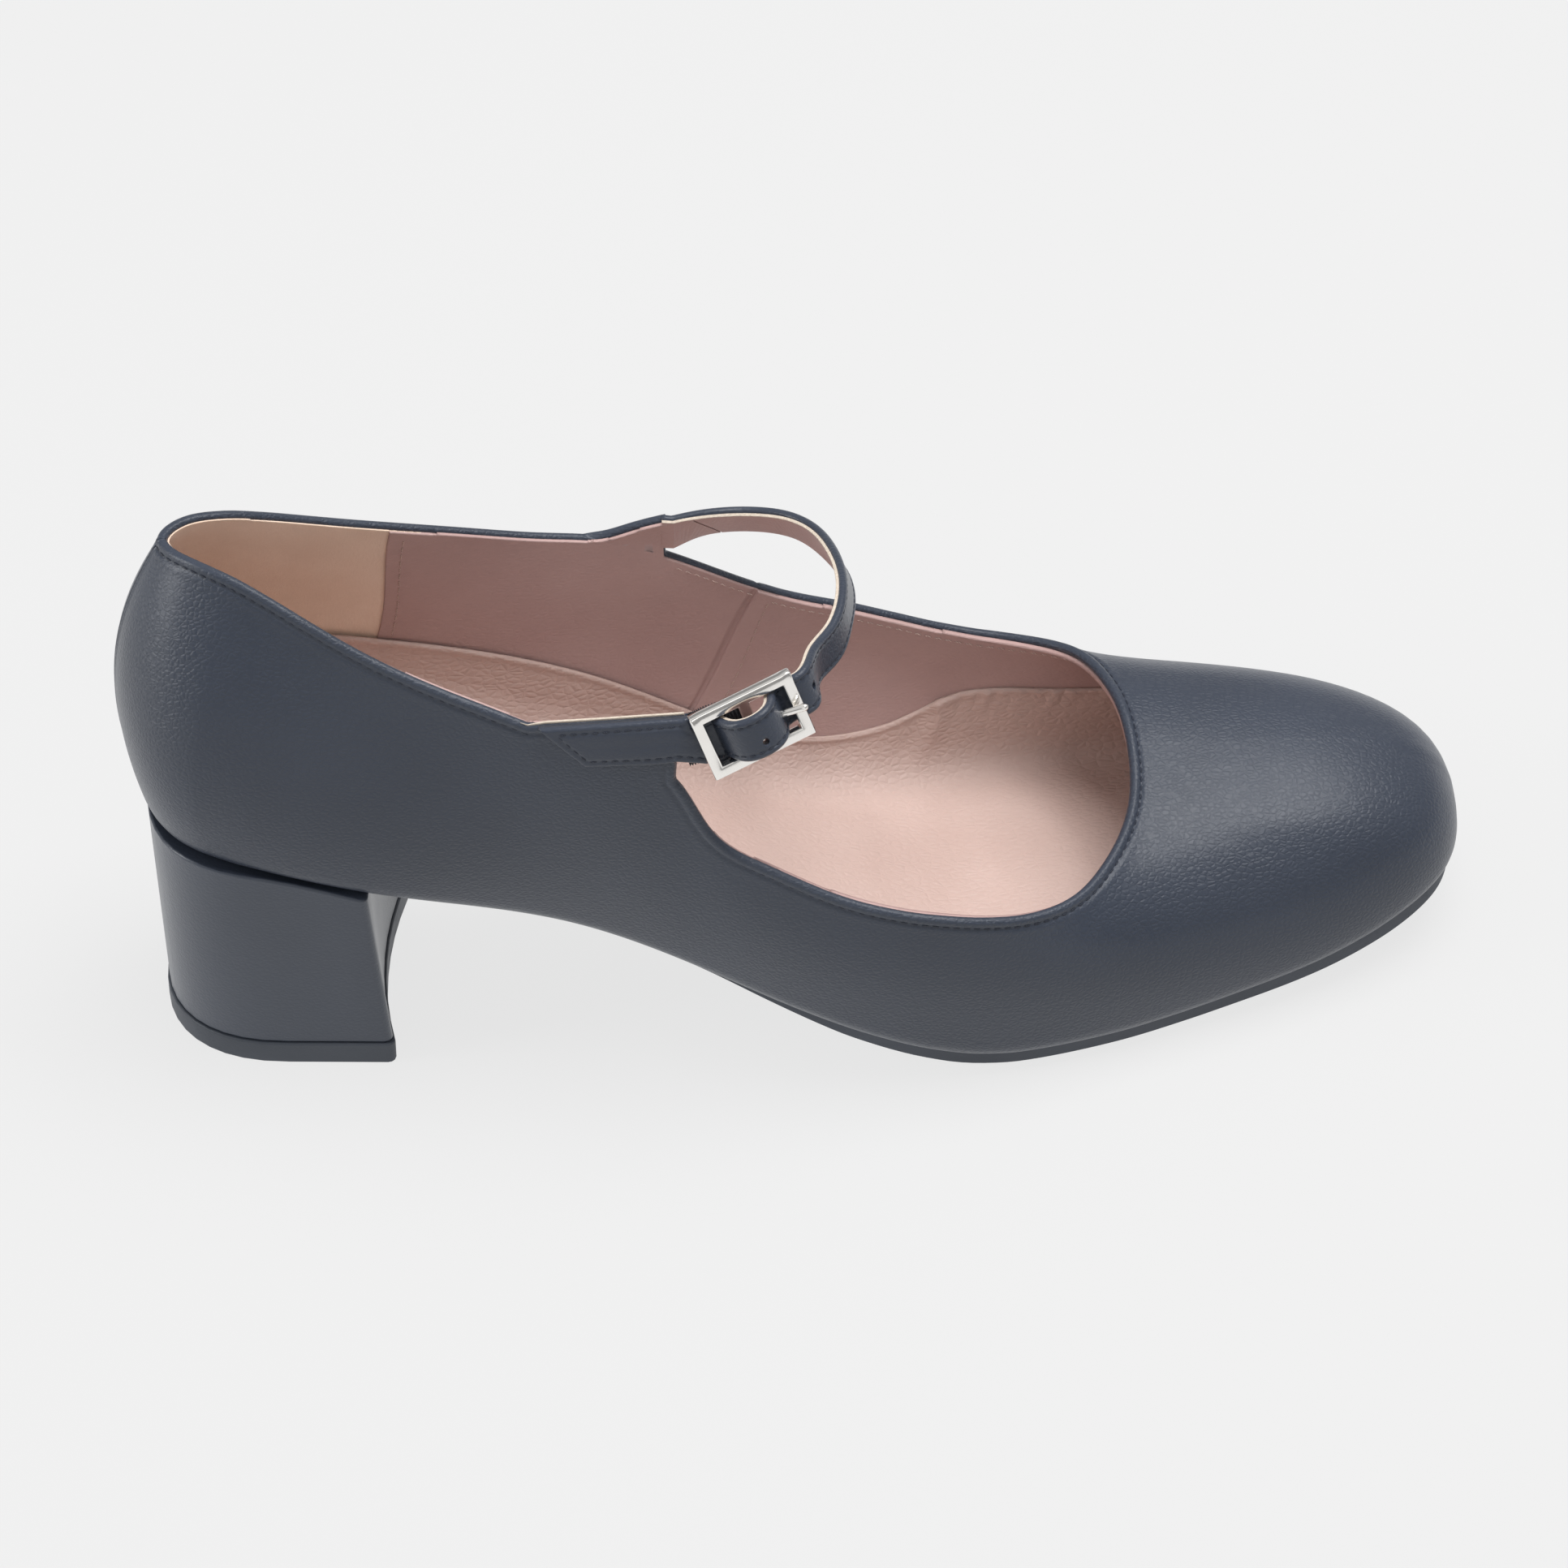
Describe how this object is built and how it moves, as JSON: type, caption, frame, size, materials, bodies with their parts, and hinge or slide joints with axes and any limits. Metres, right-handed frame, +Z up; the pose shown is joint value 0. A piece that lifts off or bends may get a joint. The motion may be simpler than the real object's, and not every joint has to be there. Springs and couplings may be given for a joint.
{
  "type": "shoe",
  "caption": "Right-foot mary jane pump: low-cut leather upper on a mid-height covered block heel, with a narrow instep strap that closes with a prong buckle on the outer side.",
  "frame": {"origin": "middle of the shoe's bounding box in plan, on the floor that the heel and the forefoot stand on", "axes": "+X from the heel to the toe, +Y to the inner side of the foot, -Y to the outer side that has the buckle, +Z up"},
  "size_m": [0.239, 0.0778, 0.106],
  "materials": {
    "leather": "dark navy fine-grained leather, soft sheen",
    "sock": "pink grained leather sock, satin",
    "sole": "dark smooth sole, matt",
    "covered_heel": "heel block covered in the upper's leather",
    "rubber": "dark heel top piece, matt",
    "elastic": "black ribbed elastic",
    "metal": "polished pale nickel"
  },
  "bodies": {
    "root": {"upper": "leather", "insole": "sock", "outsole": "sole", "heel": "covered_heel", "heel_top_piece": "rubber", "strap": "leather", "buckle_tab": "leather", "elastic": "elastic", "buckle_frame": "metal", "buckle_prong": "metal"}
  },
  "joints": []
}
